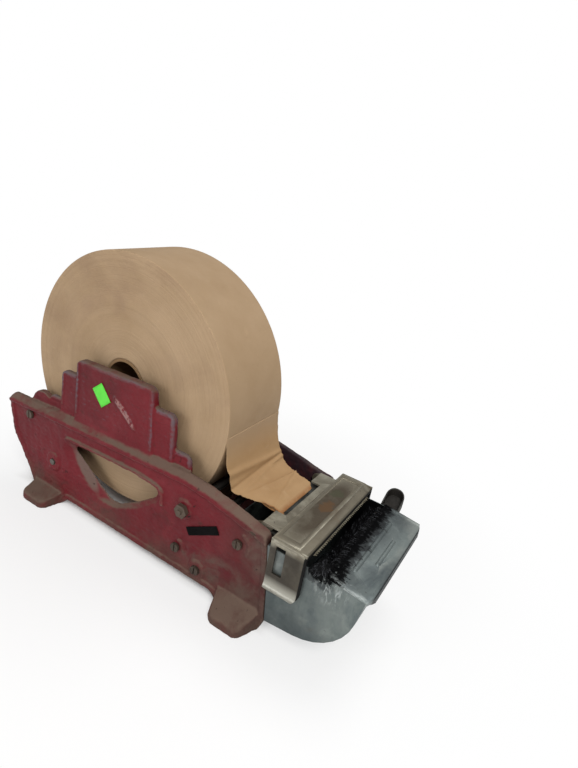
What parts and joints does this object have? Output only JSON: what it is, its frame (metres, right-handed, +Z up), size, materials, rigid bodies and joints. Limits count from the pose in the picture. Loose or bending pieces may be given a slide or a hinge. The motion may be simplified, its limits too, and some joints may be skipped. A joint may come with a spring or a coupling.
{
  "type": "gummed paper tape dispenser",
  "caption": "Shop-counter gummed tape dispenser: cast iron sides, kraft tape roll on rollers, lift-up plated cover, slide-out water tank with brush.",
  "frame": {"origin": "bottom centre of the bounding box: on the table, midway along and across the machine", "axes": "+X the way the tape comes out, +Y towards the far side frame, +Z up"},
  "size_m": [0.396, 0.15, 0.2593],
  "materials": {
    "frame_paint": "old satin enamel, worn at the edges",
    "tie_steel": "dull",
    "screw_steel": "aged",
    "blade_steel": "dull",
    "roller_wood": "turned, worn",
    "kraft_roll": "matte, wound",
    "core_board": "matte",
    "kraft_tape": "matte outside, gummed inside",
    "plated_sheet": "dull plating with brown stains",
    "zinc_sheet": "aged galvanising",
    "brush_wood": "wet worn",
    "bristle": "stiff black bristle"
  },
  "bodies": {
    "frame": {"near_side_frame": "frame_paint", "far_side_frame": "frame_paint", "rear_tie_rod": "tie_steel", "front_tie_rod": "tie_steel", "lower_tie_rod": "tie_steel", "base_tie_rod": "tie_steel", "tie_screws": "screw_steel", "rear_axle": "tie_steel", "front_axle": "tie_steel", "tape_tail": "kraft_tape", "feed_bed": "zinc_sheet", "bed_screws": "screw_steel", "near_runner": "tie_steel", "far_runner": "tie_steel", "runner_screws": "screw_steel", "hinge_pins": "screw_steel"},
    "roll": {"tape_roll": "kraft_roll", "tape_core": "core_board"},
    "rear_roller": {"rear_roller": "roller_wood"},
    "front_roller": {"front_roller": "roller_wood"},
    "cover": {"tape_guide": "plated_sheet", "cover_plate": "plated_sheet", "cover_rivets": "screw_steel", "tear_blade": "blade_steel", "check_spring": "blade_steel"},
    "tank": {"water_tank": "zinc_sheet", "tank_hood": "zinc_sheet", "filler_scoop": "zinc_sheet"},
    "brush": {"brush_holder": "zinc_sheet", "brush_back": "brush_wood", "brush_bristles": "bristle"}
  },
  "joints": [
    {"name": "tape_roll_spin", "type": "hinge", "parent": "frame", "child": "roll", "pos_m": [-0.0611, 0, 0.14603], "axis": [0, 1, 0], "continuous": true},
    {"name": "rear_roller_spin", "type": "hinge", "parent": "frame", "child": "rear_roller", "pos_m": [-0.1325, 0, 0.0427], "axis": [0, 1, 0], "continuous": true},
    {"name": "front_roller_spin", "type": "hinge", "parent": "frame", "child": "front_roller", "pos_m": [0.0103, 0, 0.0427], "axis": [0, 1, 0], "continuous": true},
    {"name": "cover_lift", "type": "hinge", "parent": "frame", "child": "cover", "pos_m": [0.0989, 0, 0.087], "axis": [0, -1, 0], "range_deg": [0, 85]},
    {"name": "tank_slide", "type": "slide", "parent": "frame", "child": "tank", "axis": [1, 0, 0], "range_m": [0, 0.12]},
    {"name": "brush_lift", "type": "slide", "parent": "tank", "child": "brush", "axis": [0, 0, 1], "range_m": [0, 0.05]}
  ],
  "couplings": [
    {"joint": "rear_roller_spin", "follows": "tape_roll_spin", "ratio": -9.4417},
    {"joint": "front_roller_spin", "follows": "tape_roll_spin", "ratio": -9.4417}
  ]
}
